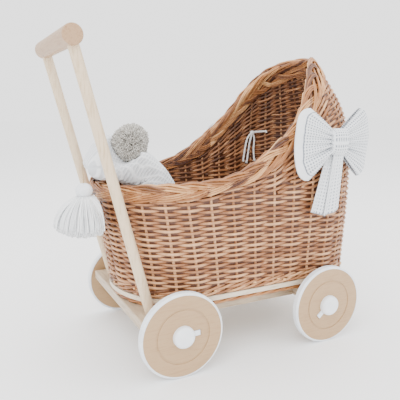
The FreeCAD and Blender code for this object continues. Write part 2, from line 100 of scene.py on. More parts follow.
# ---------------------------------------------------------------- materials
def rgb(red, green, blue):
    """A colour from 0 to 255 as the linear one that shaders take, deepened for the bright light."""
    return tuple(((c / 255 + 0.055) / 1.055) ** 3.3 for c in (red, green, blue)) + (1.0,)


def new_look(name, **sockets):
    look = bpy.data.materials.new(name)
    look.use_nodes = True
    for socket, value in sockets.items():
        look.node_tree.nodes["Principled BSDF"].inputs[socket.replace("_", " ")].default_value = value
    return look


def add(look, kind, inputs=None, **settings):
    node = look.node_tree.nodes.new(kind)
    for name, value in settings.items():
        setattr(node, name, value)
    for socket, source in (inputs or {}).items():
        if isinstance(source, bpy.types.NodeSocket):
            look.node_tree.links.new(source, node.inputs[socket])
        else:
            node.inputs[socket].default_value = source
    return node


def noise(look, stretch, scale, detail=3.0):
    """Noise over the piece's own coordinates, in metres, stretched by a factor for each axis."""
    place = add(look, "ShaderNodeTexCoord").outputs["Object"]
    place = add(look, "ShaderNodeMapping", {"Vector": place, "Scale": stretch}).outputs["Vector"]
    return add(look, "ShaderNodeTexNoise",
               {"Vector": place, "Scale": scale, "Detail": detail}).outputs["Fac"]


def mixed(look, operation, first, second):
    node = add(look, "ShaderNodeMath", {0: first, 1: second}, operation=operation)
    return node.outputs[0]


def colour_by(look, factor, *stops):
    node = add(look, "ShaderNodeValToRGB", {"Fac": factor})
    elements = node.color_ramp.elements
    while len(elements) < len(stops):
        elements.new(0.5)
    for element, (position, colour) in zip(elements, stops):
        element.position, element.color = position, colour
    shader = look.node_tree.nodes["Principled BSDF"]
    look.node_tree.links.new(node.outputs["Color"], shader.inputs["Base Color"])


def bumped(look, height, strength, distance):
    bump = add(look, "ShaderNodeBump",
               {"Height": height, "Strength": strength, "Distance": distance})
    shader = look.node_tree.nodes["Principled BSDF"]
    look.node_tree.links.new(bump.outputs["Normal"], shader.inputs["Normal"])


def wood(name, stretch, light, dark, rough=0.45):
    look = new_look(name, Roughness=rough, Coat_Weight=0.08)
    grain = noise(look, stretch, 60.0, 6.0)
    colour_by(look, grain, (0.3, dark), (0.52, light), (0.75, light))
    bumped(look, noise(look, stretch, 160.0), 0.15, 0.0002)
    return look


def rods(name, dark, middle, light, rough=0.48):
    """Peeled rods: each has a tone of its own, with a mottle along it. The weavers' tone also holds
    painted shade where they pass inside the stakes.
    """
    look = new_look(name, Roughness=rough, Coat_Weight=0.12, Coat_Roughness=0.35)
    tone = add(look, "ShaderNodeAttribute", attribute_name="tone").outputs["Fac"]
    mottle = mixed(look, "MULTIPLY", noise(look, (1, 1, 1), 90.0, 4.0), 0.5)
    colour_by(look, mixed(look, "ADD", tone, mixed(look, "SUBTRACT", mottle, 0.25)),
              (0.05, dark), (0.5, middle), (0.95, light))
    bumped(look, noise(look, (1, 1, 3), 500.0), 0.25, 0.0003)
    return look


def cloth(name, colour, shade, weave=1400.0, rough=0.95):
    look = new_look(name, Roughness=rough, Sheen_Weight=0.25, Sheen_Roughness=0.5)
    colour_by(look, noise(look, (1, 1, 1), 70.0, 5.0), (0.3, shade), (0.6, colour))
    bumped(look, noise(look, (1, 1, 1), weave, 2.0), 0.5, 0.0004)
    return look


def waffle_cloth(name, hollow, ridge):
    """Waffle cloth: its tone runs from 0 in the hollows to 1 on the ridges. The grey of the hollows is
    painted shade on the white cloth.
    """
    look = new_look(name, Roughness=0.95, Sheen_Weight=0.2, Sheen_Roughness=0.5)
    tone = add(look, "ShaderNodeAttribute", attribute_name="tone").outputs["Fac"]
    mottle = mixed(look, "MULTIPLY", noise(look, (1, 1, 1), 240.0, 3.0), 0.2)
    colour_by(look, mixed(look, "ADD", tone, mottle), (0.1, hollow), (0.85, ridge))
    bumped(look, noise(look, (1, 1, 1), 1400.0, 2.0), 0.5, 0.0004)
    return look


def yarn(name, dark, light):
    look = new_look(name, Roughness=1.0, Sheen_Weight=0.3)
    tone = add(look, "ShaderNodeAttribute", attribute_name="tone").outputs["Fac"]
    fuzz = mixed(look, "MULTIPLY", noise(look, (1, 1, 1), 900.0, 2.0), 0.3)
    colour_by(look, mixed(look, "ADD", tone, fuzz), (0.1, dark), (0.9, light))
    bumped(look, noise(look, (1, 1, 1), 2200.0), 0.4, 0.0003)
    return look


def smooth_look(name, colour, shade, rough, metallic=0.0):
    look = new_look(name, Roughness=rough, Metallic=metallic)
    colour_by(look, noise(look, (1, 1, 1), 45.0, 3.0), (0.35, shade), (0.65, colour))
    bumped(look, noise(look, (1, 1, 1), 700.0), 0.06, 0.0002)
    return look


BIRCH, BIRCH_DARK = rgb(228, 211, 186), rgb(212, 192, 163)
LOOKS = {
    "post": wood("birch_upright", (6, 6, 0.5), BIRCH, BIRCH_DARK),
    "bar": wood("bar_across", (6, 0.5, 6), rgb(192, 164, 134), rgb(180, 150, 120)),
    "disc": wood("wheel_grain", (0.8, 3, 7), rgb(196, 170, 137), rgb(190, 162, 128), 0.4),
    "board": wood("board_across", (6, 0.5, 6), rgb(206, 190, 168), rgb(178, 160, 138)),
    "rail": wood("rail_along", (0.5, 6, 6), rgb(206, 190, 168), rgb(178, 160, 138)),
    "band": wood("bleached_band", (0.6, 4, 9), rgb(228, 216, 198), rgb(206, 190, 168)),
    "wicker": rods("willow", rgb(92, 56, 34), rgb(176, 130, 92), rgb(226, 188, 150)),
    "rim": rods("willow_rim", rgb(96, 54, 28), rgb(184, 134, 86), rgb(230, 192, 146)),
    "foot": rods("willow_foot", rgb(104, 62, 34), rgb(168, 116, 72), rgb(206, 160, 112)),
    # painted shade: a dark willow colour standing in for the shade seen between rods, for the sheet inside
    # the wall and the rim's core
    "shade_fill": rods("willow_painted_shade", rgb(96, 62, 42), rgb(116, 78, 54), rgb(134, 94, 68)),
    "tyre": smooth_look("tyre_white", rgb(240, 243, 246), rgb(230, 233, 237), 0.6),
    "cap": smooth_look("cap_white", rgb(244, 246, 249), rgb(236, 239, 243), 0.3),
    "spacer": smooth_look("spacer_grey", rgb(226, 226, 224), rgb(214, 214, 212), 0.45),
    "steel": smooth_look("zinc", rgb(176, 178, 180), rgb(150, 152, 156), 0.3, 1.0),
    "bead": smooth_look("bead_white", rgb(242, 244, 246), rgb(230, 232, 235), 0.5),
    "waffle": waffle_cloth("waffle_white_painted_hollow_shade", rgb(152, 157, 166), rgb(236, 238, 240)),
    "cotton": cloth("cotton_white", rgb(238, 238, 236), rgb(226, 226, 225)),
    "pompom": yarn("yarn_grey", rgb(150, 146, 139), rgb(222, 219, 213)),
    "tassel": yarn("yarn_white", rgb(208, 211, 213), rgb(246, 247, 248)),
    "tie": yarn("cotton_tie", rgb(214, 214, 212), rgb(250, 250, 249)),
    "twine": yarn("twine_beige", rgb(170, 146, 112), rgb(214, 194, 162)),
}


# ---------------------------------------------------------------- meshes
def mesh_piece(name, points, faces, tone=None, look=None, body="root", slot=None, stands_for=()):
    """A mesh from points in millimetres and arrays of faces; each array has one face size."""
    points = to_frame(points)
    mesh = bpy.data.meshes.new(name)
    mesh.vertices.add(len(points))
    mesh.vertices.foreach_set("co", points.astype(np.float32).ravel())
    corners = np.concatenate([np.asarray(f).ravel() for f in faces])
    sizes = np.concatenate([np.full(len(f), np.asarray(f).shape[1]) for f in faces])
    mesh.loops.add(len(corners))
    mesh.loops.foreach_set("vertex_index", corners.astype(np.int32))
    mesh.polygons.add(len(sizes))
    starts = np.concatenate([[0], np.cumsum(sizes)[:-1]])
    mesh.polygons.foreach_set("loop_start", starts.astype(np.int32))
    mesh.polygons.foreach_set("use_smooth", np.ones(len(sizes), bool))
    mesh.update(calc_edges=True)
    if tone is not None:
        layer = mesh.attributes.new("tone", "FLOAT", "POINT")
        layer.data.foreach_set("value", np.asarray(tone, np.float32))
    obj = bpy.data.objects.new(name, mesh)
    bpy.context.scene.collection.objects.link(obj)
    mesh.materials.append(LOOKS[look])
    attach(obj, body)
    if stands_for:
        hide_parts(*stands_for)
    return obj


def unit(vectors):
    return vectors / np.maximum(np.linalg.norm(vectors, axis=-1, keepdims=True), 1e-9)


def tubes(name, runs, sides=7, **piece):
    """One piece of many round rods. A run is (points, sideways directions, radii, tones, closed)."""
    turn = 2 * math.pi * np.arange(sides) / sides
    points, tones, quads, caps, base = [], [], [], [], 0
    for line, sideways, radius, tone, closed in runs:
        line = np.asarray(line, float)
        count = len(line)
        if closed:
            ahead = np.roll(line, -1, 0) - np.roll(line, 1, 0)
        else:
            ahead = np.gradient(line, axis=0)
        ahead = unit(ahead)
        side = np.broadcast_to(sideways, line.shape)
        side = unit(side - (side * ahead).sum(1, keepdims=True) * ahead)
        up = np.cross(ahead, side)
        radius = np.broadcast_to(radius, count)[:, None, None]
        around = side[:, None] * np.cos(turn)[:, None] + up[:, None] * np.sin(turn)[:, None]
        points.append((line[:, None] + radius * around).reshape(-1, 3))
        tones.append(np.repeat(np.broadcast_to(tone, count), sides))
        index = base + np.arange(count * sides).reshape(count, sides)
        low, high = (index, np.roll(index, -1, 0)) if closed else (index[:-1], index[1:])
        quads.append(np.stack([low, np.roll(low, -1, 1), np.roll(high, -1, 1), high],
                              -1).reshape(-1, 4))
        if not closed:
            caps += [index[0][::-1], index[-1]]
        base += count * sides
    faces = [np.concatenate(quads)] + ([np.array(caps)] if caps else [])
    return mesh_piece(name, np.concatenate(points), faces, np.concatenate(tones), **piece)


def grid_faces(rows, columns, round_rows=False, round_columns=False):
    index = np.arange(rows * columns).reshape(rows, columns)
    if round_rows:
        index = np.vstack([index, index[:1]])
    if round_columns:
        index = np.hstack([index, index[:, :1]])
    return np.stack([index[:-1, :-1], index[:-1, 1:], index[1:, 1:], index[1:, :-1]],
                    -1).reshape(-1, 4)


def grid_piece(name, grid, thick=0.0, round_rows=False, round_columns=False, **piece):
    """A surface from a grid of points, with a cloth's thickness if thick isn't 0."""
    rows, columns = grid.shape[:2]
    faces = grid_faces(rows, columns, round_rows, round_columns)
    obj = mesh_piece(name, grid.reshape(-1, 3), [faces], **piece)
    if thick:
        solid = obj.modifiers.new("cloth", "SOLIDIFY")
        solid.thickness, solid.offset = thick * MM, 0.0
    return obj


def blocky_noise(count, blocks):
    """A tone that stays the same for a stretch and then changes, as rods are laid end to end."""
    return np.repeat(rng.uniform(0, 1, blocks), math.ceil(count / blocks))[:count]


# ---------------------------------------------------------------- cords
def nurbs_line(name, route):
    """The smooth line of a NURBS spline that has the route's points as its control points."""
    curve = bpy.data.curves.new(name, "CURVE")
    curve.dimensions = "3D"
    curve.resolution_u = 10
    spline = curve.splines.new("NURBS")
    spline.points.add(len(route) - 1)
    for point, place in zip(spline.points, route):
        point.co = (*place, 1.0)
    spline.order_u, spline.use_endpoint_u = 3, True
    holder = bpy.data.objects.new(name, curve)
    bpy.context.scene.collection.objects.link(holder)
    bpy.context.view_layer.update()
    mesh = bpy.data.meshes.new_from_object(holder)
    line = np.array([v.co for v in mesh.vertices], float)
    bpy.data.objects.remove(holder)
    return line


def twisted(line, count, ring, radius, lay, tone=0.6):
    """Runs for the strands of a twisted cord that follows a line given in millimetres."""
    steps = np.linalg.norm(np.diff(line, axis=0), axis=1)
    length = np.concatenate([[0], np.cumsum(steps)])
    fine = np.linspace(0, length[-1], max(12, int(length[-1] / lay * 12)))
    line = np.stack([np.interp(fine, length, line[:, k]) for k in range(3)], 1)
    ahead = unit(np.gradient(line, axis=0))
    side = unit(np.cross(ahead, [0.31, 0.9, 0.05]))
    up = np.cross(ahead, side)
    runs = []
    for strand in range(count):
        turn = 2 * math.pi * (fine / lay + strand / count)
        out = side * np.cos(turn)[:, None] + up * np.sin(turn)[:, None]
        runs.append((line + ring * out, up, radius, tone + rng.uniform(-0.15, 0.15), False))
    return runs


# Routes of the tie tails, as (x, z) from the tie, in millimetres, as the part's source has them.
TIE_X, TIE_Y, TIE_Z, TIE_DIAMETER = 316.0, 132.0, 388.0, 3.8
TIE_TAILS = {"1": ([(0, 0), (-9, -6), (-15, -20), (-18, -38), (-21, -63)], 69.2),
             "2": ([(0, 0), (-2, -9), (-6, -22), (-8, -42), (-11, -67)], 68.2),
             "3": ([(0, 0), (5, -7), (7, -20), (5, -40), (9, -63)], 65.0)}


def make_ties():
    for side, sign in SIDES.items():
        tie = np.array([TIE_X, sign * TIE_Y, TIE_Z])
        stub = [tie, tie + (12, -0.6 * sign, 1.2), tie + (23, -3.5 * sign, 2.2),
                tie + (33, -8 * sign, 2.0)]
        stub = nurbs_line("stub", stub)
        runs = twisted(stub, 3, 1.3, 1.25, 11)
        turn = np.linspace(0, 2 * math.pi, 40, endpoint=False)
        for tilt, size in ((0.2, 4.1), (1.1, 3.9), (2.1, 4.0), (2.8, 3.6)):
            ring = np.stack([size * np.cos(turn), size * 0.75 * np.sin(turn) * math.cos(tilt),
                             size * np.sin(turn) * math.sin(tilt) + 0.8 * np.cos(2 * turn)], 1)
            runs.append((tie + ring, (0.2, 1, 0.3), 1.5, 0.6, True))
        loop = np.stack([2 * np.cos(turn), 2 * np.sin(turn) * 0.8, 2 * np.sin(turn)], 1)
        runs.append((stub[-1] + loop, (0, 1, 0.4), 1.3, 0.6, True))
        knot = tubes("tie_%s_wraps" % side, runs, 8, look="tie", slot="tie_cord")
        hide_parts("tie_%s_knot" % side)
        for number, (route, length) in TIE_TAILS.items():
            points = [tie + (x, sign * 0.06 * -z, z) for x, z in route]
            line = nurbs_line("tail", points)
            name = "tie_%s_tail_%s" % (side, number)
            tail = tubes(name + "_strands", twisted(line, 3, 1.1, 1.15, 9), 7, look="tie", slot="tie_cord")
            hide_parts(name)
            frays = []
            for _ in range(14):
                spread = rng.normal(0, 1.0, 3) * (1, 1, 0.3)
                start = line[-1] + spread * 0.6 + (0, 0, 2.5)
                frays.append(([start, start + spread * 0.8 + (0, 0, -3.5),
                               start + spread * 1.8 + (0, 0, -7)], (1, 0.2, 0), 0.3, 0.7, False))
            fray = tubes(name + "_fray", frays, 5, look="tie", slot="tie_cord")


TASSEL_X, TASSEL_Y, TASSEL_HANG = -125.0, -45.0, 341.0
BEAD_Z, BEAD_RADIUS, BEAD_HALF, CORD_IN_BEAD = 310.5, 14.5, 12.8, 3.0
SKIRT_TOP, SKIRT_BELLY, SKIRT_BOTTOM, SKIRT_RADIUS = 302.0, 252.0, 234.0, 52.0
SKIRT_FLAT, SKIRT_STRANDS = 24.0, 1250


def make_tassel():
    foot = BEAD_Z - CORD_IN_BEAD
    route = [(TASSEL_X, TASSEL_Y, z) for z in np.linspace(TASSEL_HANG, foot, 4)]
    line = nurbs_line("twine", route)
    twine = tubes("tassel_twine", twisted(line, 2, 0.75, 0.75, 8, 0.5), 8, look="twine",
                  body="tassel_body", slot="twine", stands_for=["tassel_cord"])

    turn = np.linspace(0, 2 * math.pi, 48, endpoint=False)
    bend = np.linspace(0.14, math.pi - 0.3, 22)
    radius = np.concatenate([[1.6, 1.6], BEAD_RADIUS * np.sin(bend)])
    height = np.concatenate([[BEAD_HALF - 4, BEAD_HALF - 0.6], BEAD_HALF * np.cos(bend)])
    grid = np.stack([TASSEL_X + radius[:, None] * np.cos(turn),
                     TASSEL_Y + radius[:, None] * np.sin(turn),
                     np.repeat(BEAD_Z + height[:, None], len(turn), 1)], -1)
    bead = grid_piece("tassel_ball", grid[::-1], round_columns=True, look="bead",
                      body="tassel_body", slot="bead_white", stands_for=["tassel_bead"])

    strands = []
    for _ in range(SKIRT_STRANDS):
        share = rng.uniform(0.02, 1) ** 0.35
        angle = rng.uniform(0, 2 * math.pi)
        down = np.linspace(0, 1, 9)
        bottom = SKIRT_BELLY * share ** 3 + SKIRT_BOTTOM * (1 - share ** 3) + rng.uniform(-2, 3)
        out = share * (9 + (SKIRT_RADIUS - 9) * np.sin(down * math.pi / 2) ** 0.85)
        out += rng.normal(0, 0.8) * down
        swirl = angle + rng.normal(0, 0.06) * down
        x, y = out * np.cos(swirl), out * np.sin(swirl)
        x = np.where(x > SKIRT_FLAT - 4, SKIRT_FLAT - 4 + (x - SKIRT_FLAT + 4) * 0.15, x)
        z = SKIRT_TOP + (bottom - SKIRT_TOP) * (0.6 * down + 0.4 * down ** 1.6)
        path = np.stack([TASSEL_X + x, TASSEL_Y + y, z], 1)
        strands.append((path, (math.sin(angle), -math.cos(angle), 0.1), rng.uniform(0.9, 1.25),
                        rng.uniform(0.2, 0.9), False))
    tubes("tassel_strands", strands, 5, look="tassel", body="tassel_body",
          slot="tassel_yarn", stands_for=["tassel_skirt"])


make_ties()
make_tassel()

# ---------------------------------------------------------------- basket surface
# The basket's outer surface: one oval for each height, as the part's source has them.
# columns: height, half width, rear end, where the front curve starts, front end
OVALS = np.array([
    (113.5, 138, -68, 311, 431), (160, 139.5, -73, 312, 433), (230, 145, -84, 313, 435),
    (300, 149, -95, 314, 435), (350, 150, -98, 314, 433), (400, 147, -98, 311, 427),
    (449, 131, -98, 304, 414), (475, 119, -98, 297, 402), (497, 105, -98, 292, 390),
    (515, 91, -98, 290, 381), (530, 75, -98, 294, 375), (541, 57, -98, 303, 370),
    (550, 34, -98, 320, 366)], float)
OVAL_END = 120.0
FREE_EDGE = np.array([(-140, 312), (-98, 316), (-40, 324), (40, 327), (96, 332), (146, 353),
                      (190, 384), (248, 438), (286, 497), (304, 520), (331, 541), (361, 550),
                      (450, 561)], float)
WEAVE_EDGE = np.array([(-140, 288), (-98, 290), (-40, 297), (40, 301), (97, 311), (136, 320),
                       (176, 335), (225, 371), (283, 439), (313, 473), (334, 491), (378, 516),
                       (450, 552)], float)
STAKES, STEPS = 34, 8
MIDDLE = -6.0          # the middle of the wall, from the outer oval
ROD, STAKE_ROD, PITCH = 2.5, 2.5, 4.97
SWING = 3.4            # how far a weaver swings from the middle of the wall at a stake
FIRST_ROW, LEVEL_TOP = 141.0, 284.0
WALE_ROD, WALE_HEIGHTS = 2.2, (126.3, 134.0)


def smooth(table, column, at):
    """A smooth curve through one column of a table, read at some values of its first column."""
    known, values = table[:, 0], table[:, column]
    slope = np.gradient(values, known)
    k = np.clip(np.searchsorted(known, at) - 1, 0, len(known) - 2)
    span = known[k + 1] - known[k]
    t = np.clip((at - known[k]) / span, 0, 1)
    return ((2 * t ** 3 - 3 * t ** 2 + 1) * values[k] + (t ** 3 - 2 * t ** 2 + t) * span * slope[k]
            + (3 * t ** 2 - 2 * t ** 3) * values[k + 1] + (t ** 3 - t ** 2) * span * slope[k + 1])


def oval_at(part, height):
    """Points of the oval: part runs 0 to 5 from the front, round the left, the rear, the right."""
    half, rear, middle, front = (smooth(OVALS, column, height) for column in (1, 2, 3, 4))
    back = rear + OVAL_END
    turn = np.select([part < 1, part < 2, part < 3, part < 4],
                     [part * 90, 90 + 0 * part, 90 + (part - 2) * 180, 270 + 0 * part],
                     270 + (part - 4) * 90) * math.pi / 180
    x = np.select([part < 1, part < 2, part < 3, part < 4],
                  [middle + (front - middle) * np.cos(turn), middle + (back - middle) * (part - 1),
                   back + OVAL_END * np.cos(turn), back + (middle - back) * (part - 3)],
                  middle + (front - middle) * np.cos(turn))
    return np.stack([x, half * np.sin(turn), height + 0 * part], -1)


def equal_parts():
    part = np.linspace(0, 5, 4001)
    line = oval_at(part, np.full(len(part), 230.0))
    length = np.concatenate([[0], np.cumsum(np.linalg.norm(np.diff(line, axis=0), axis=1))])
    return part, length / length[-1]


PART, SHARE = equal_parts()


def surface(around, height, out):
    """Points of the basket at a share of the way round (0 to 1), a height and an offset."""
    around, height = np.broadcast_arrays(np.asarray(around, float), np.asarray(height, float))
    step = 0.0005

    def spot(a, z):
        return oval_at(np.interp(a % 1, SHARE, PART), z)

    low, high = np.clip(height - 0.6, 113.5, 550), np.clip(height + 0.6, 113.5, 550)
    ahead = spot(around + step, height) - spot(around - step, height)
    up = spot(around, high) - spot(around, low)
    normal = unit(np.cross(ahead, up))
    return spot(around, height) + normal * np.asarray(out)[..., None], normal


def columns(around):
    """For each column: heights, length up the wall, and the length at the weave's and rim's edge."""
    heights = np.arange(114.0, 550.0, 1.0)
    grid, _ = surface(around[None, :], heights[:, None], np.full((1, 1), MIDDLE))
    climb = np.linalg.norm(np.diff(grid, axis=0), axis=2)
    length = np.vstack([np.zeros(len(around)), np.cumsum(climb, axis=0)])
    outer = oval_at(np.interp(around % 1, SHARE, PART)[None, :] + 0 * heights[:, None],
                    heights[:, None] + 0 * around[None, :])
    edges = []
    for edge in (WEAVE_EDGE, FREE_EDGE):
        over = heights[:, None] - smooth(edge, 1, outer[..., 0])
        first = np.where((over > 0).any(0), (over > 0).argmax(0), len(heights) - 1)
        edges.append(length[first, np.arange(len(around))])
    return heights, length, edges[0], edges[1]


def heights_at(heights, length, wanted):
    return np.array([np.interp(wanted[k], length[:, k], heights) for k in range(len(wanted))])


def wicker_rows():
    """Rows as (places round the basket, heights, parity, closed)."""
    around = np.arange(STAKES * STEPS) / (STAKES * STEPS)
    heights, length, weave_top, _ = columns(around)
    start = np.array([np.interp(LEVEL_TOP, heights, length[:, k]) for k in range(len(around))])
    rows = []
    level = np.arange(FIRST_ROW, LEVEL_TOP, PITCH)
    for k, height in enumerate(level):
        rows.append((around, np.full(len(around), height), k % 2, True))
    parity = len(level) % 2

    room = np.maximum(weave_top - start, 2.0)
    wanted = room / PITCH
    pairs = int(math.ceil(wanted.max() / 2))
    order = np.argsort(np.argsort([(k * 0.6180339) % 1 for k in range(pairs)]))
    weight = np.clip((wanted[None, :] - 2 * order[:, None]) / 2, 0, 1)
    kernel = np.hanning(STEPS + 3)
    weight = np.array([np.convolve(np.tile(w, 3), kernel / kernel.sum(), "same")
                       [len(w):2 * len(w)] for w in weight])
    weight = np.repeat(weight, 2, axis=0)
    total = np.maximum(weight.sum(0), 1e-6)
    place = (np.cumsum(weight, 0) - 0.5 * weight) / total
    for k in range(len(weight)):
        shown = weight[k] > 0.35
        where = start + place[k] * room
        at = heights_at(heights, length, where)
        if shown.all():
            rows.append((around, at, (k + parity) % 2, True))
        elif shown.any():
            centred = np.argsort((around + 0.5) % 1)
            keep = [i for i in centred if shown[i]]
            rows.append(((around[keep] + 0.5) % 1 - 0.5, at[keep], (k + parity) % 2, False))
    return rows


LOW_ROWS, MIDDLE_ROWS = 15, 29    # rows in the lowest piece of weave, and in the two lowest


def make_weavers():
    groups = {}
    for number, (around, height, parity, closed) in enumerate(wicker_rows()):
        count = len(around)
        wave = np.cos(math.pi * (around * STAKES + parity))
        wave = np.sign(wave) * np.abs(wave) ** 0.8
        wander = 0.45 * np.sin(around * 2 * math.pi * rng.integers(3, 9) + rng.uniform(0, 6.3))
        radius = ROD * (1 + 0.09 * np.sin(around * 2 * math.pi * 2 + rng.uniform(0, 6.3)))
        points, normal = surface(around, height + wander, MIDDLE + SWING * wave)
        # The wave term darkens a weaver where it passes inside a stake and lightens it outside: painted
        # shade.
        tone = 0.28 + 0.42 * blocky_noise(count, max(1, count // 60)) + 0.2 * wave
        level = "low" if number < LOW_ROWS else ("middle" if number < MIDDLE_ROWS else "hood")
        if level == "hood":
            level += "_%d" % (number % 3)
        groups.setdefault(level, []).append((points, normal, radius, tone, closed))
    for level, runs in groups.items():
        piece = tubes("weave_" + level, runs, 7, look="wicker", slot="wicker")
        if level == "low":
            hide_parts("basket_wall")


def make_stakes():
    around = np.arange(STAKES) / STAKES
    heights, length, weave_top, _ = columns(around)
    stakes = []
    for k in range(STAKES):
        top = np.interp(weave_top[k] + 9, length[:, k], heights)
        rise = np.linspace(118, top, 44)
        points, normal = surface(np.full(44, around[k]), rise, np.full(44, MIDDLE))
        stakes.append((points, normal, STAKE_ROD, rng.uniform(0.5, 0.9), False))
    tubes("stakes", stakes, 8, look="wicker", slot="wicker")


def make_shade_sheet():
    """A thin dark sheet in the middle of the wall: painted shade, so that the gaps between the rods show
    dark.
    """
    around = np.arange(STAKES * 6) / (STAKES * 6)
    heights, length, weave_top, _ = columns(around)
    foot = np.interp(120.0, heights, length[:, 0])
    layers = []
    for share in np.linspace(0, 1, 40):
        climb = foot + share * (weave_top + 4 - foot)
        points, _ = surface(around, heights_at(heights, length, climb), MIDDLE + 0 * climb)
        layers.append(points)
    grid_piece("weave_painted_shade_sheet", np.stack(layers), 0.6, round_columns=True, look="shade_fill",
               slot="wicker", tone=np.full(40 * len(around), 0.5))


def make_waling():
    ring = np.arange(STAKES * 16) / (STAKES * 16)
    wales = []
    for height in WALE_HEIGHTS:
        for strand in range(3):
            turn = 2 * math.pi * (ring * STAKES / 2 + strand / 3)
            points, normal = surface(ring, height + 2.6 * np.sin(turn), MIDDLE + 3.3 * np.cos(turn))
            wales.append((points, normal, WALE_ROD, 0.25 + 0.6 * blocky_noise(len(ring), 9), True))
    tubes("waling", wales, 8, look="wicker", slot="wicker")


def make_cut_ends():
    ends = []
    for _ in range(22):
        a, z = rng.uniform(0, 1), rng.uniform(124, 137)
        points, normal = surface(np.array([a, a + 0.0035]), np.array([z, z + 1]),
                                 np.array([MIDDLE + 3.0, MIDDLE + 6.0]))
        ends.append((points, normal, 1.7, 1.1, False))
    tubes("cut_ends", ends, 9, look="rim", slot="wicker")


make_weavers()
make_stakes()
make_shade_sheet()
make_waling()
make_cut_ends()


# ---------------------------------------------------------------- rim and foot border
RIM_ROD, RIM_ROLL, RIM_LIFT = 1.85, 4.7, 2.3
PLAIT_GROUPS, RODS_IN_GROUP, PLAIT_LENGTH = 6, 3, 230.0
CREST_SHARE, CREST_SAMPLES = 0.035, 37    # the stretch of the rim that is rounded at the crest


def make_rim():
    samples = 420
    around = np.arange(samples) / samples
    heights, length, low, free = columns(around)
    low, centre = low - 1.5, free - RIM_ROLL - RIM_ROD
    kernel = np.hanning(13) / np.hanning(13).sum()
    low, centre = (np.convolve(np.tile(v, 3), kernel, "same")[samples:2 * samples]
                   for v in (low, centre))
    flat = centre - low
    edge, _ = surface(around, heights_at(heights, length, centre), np.full(samples, MIDDLE))
    steps = np.linalg.norm(np.roll(edge, -1, 0) - edge, axis=1)
    along = np.concatenate([[0], np.cumsum(steps)[:-1]]) / steps.sum()
    cycles = round(steps.sum() / PLAIT_LENGTH)
    crest = np.exp(-(np.minimum(along, 1 - along) / CREST_SHARE) ** 2)[:, None]
    soft = np.hanning(CREST_SAMPLES) / np.hanning(CREST_SAMPLES).sum()

    def rounded(points):
        """The same loop with its peak at the hood's crest rounded off."""
        even = np.stack([np.convolve(np.tile(points[:, k], 3), soft, "same")[samples:2 * samples]
                         for k in range(3)], 1)
        return points + (even - points) * crest

    def section(across, lift, side):
        """across runs from 0 at the lower edge to 1 at the crest; side is 1 outside, -1 inside."""
        way = across * (flat + RIM_ROLL * math.pi / 2)
        bend = np.clip((way - flat) / RIM_ROLL, 0, math.pi / 2 + 0.3)
        out = side * (RIM_ROLL + lift) * np.cos(bend)
        climb = low + np.minimum(way, flat) + (RIM_ROLL + lift) * np.sin(bend)
        points, normal = surface(around, heights_at(heights, length, climb), MIDDLE + out)
        return rounded(points), normal

    for side, label in ((1, "outer"), (-1, "inner")):
        runs = []
        for group in range(PLAIT_GROUPS):
            turn = 2 * math.pi * (along * cycles + group / PLAIT_GROUPS)
            lift = RIM_LIFT * np.sin(2 * turn)
            shade = 0.1 + 0.65 * blocky_noise(samples, 9)
            for rod in range(RODS_IN_GROUP):
                gap = (rod - (RODS_IN_GROUP - 1) / 2) * RIM_ROD * 1.95
                width = flat + RIM_ROLL * math.pi / 2
                reach = width / 2 - RIM_ROD * RODS_IN_GROUP * 0.95
                across = 0.5 + (-reach * np.cos(turn) + gap) / width
                points, normal = section(across, lift, side)
                runs.append((points, normal, RIM_ROD, shade + rng.uniform(-0.12, 0.22), True))
        piece = tubes("rim_plait_" + label, runs, 7, look="rim", slot="rim_wicker")
        if side == 1:
            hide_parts("rim_border")

    # The rim's core takes the dark look: painted shade behind the gaps between the plait's groups.
    turn = np.linspace(0, 2 * math.pi, 14, endpoint=False)
    shade_fill = []
    for angle in turn:
        out = (RIM_ROLL - 1.8) * math.cos(angle)
        climb = (low + centre) / 2 + (flat / 2 + 2.5) * math.sin(angle)
        points, _ = surface(around, heights_at(heights, length, climb), MIDDLE + out + 0 * flat)
        shade_fill.append(rounded(points))
    grid_piece("rim_core", np.stack(shade_fill), round_rows=True, round_columns=True, look="shade_fill",
               slot="rim_wicker", tone=np.full(14 * samples, 0.5))


ROPE_OUT, ROPE_TURNS, ROPE_ROD = -7.6, 15, 2.5


def make_foot():
    low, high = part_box("foot_border")
    middle, samples = (low.z + high.z) / 2 / MM, 700
    around = np.arange(samples) / samples
    runs = []
    for strand in range(3):
        turn = 2 * math.pi * (around * ROPE_TURNS + strand / 3)
        points, normal = surface(around, 114.0 + 0 * turn, ROPE_OUT + 2.7 * np.cos(turn))
        points[:, 2] = middle + 2.6 * np.sin(turn)
        runs.append((points, normal, ROPE_ROD, 0.3 + 0.5 * blocky_noise(samples, 6), True))
    rope = tubes("foot_rope", runs, 9, look="foot", slot="foot_wicker")
    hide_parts("foot_border")


make_rim()
make_foot()


# ---------------------------------------------------------------- waffle cloth: bows
WAFFLE = 6.2


RIDGE = 1.5


def waffle(across, along, cell=WAFFLE):
    """Ridges on the lines of a square grid: 1 on a ridge, 0 in a hollow."""
    first, second = np.abs(np.cos(math.pi * across / cell)), np.abs(np.cos(math.pi * along / cell))
    return np.maximum(first ** 5, second ** 5)


BOW_X, BOW_OFFSET, BOW_Z, BOW_WRAP = 312.0, 164.0, 386.0, math.radians(13)
LOBE_LENGTH, LOBE_HALF, LOBE_HEM = 94.0, 64.0, 16.0
DROOP = math.radians(27)    # the left bow's rear lobe hangs, and so stays below the rim
# The flat hem's tone in the painted hollow shade: light, as no hollows shade it.
HEM_TONE = 0.75


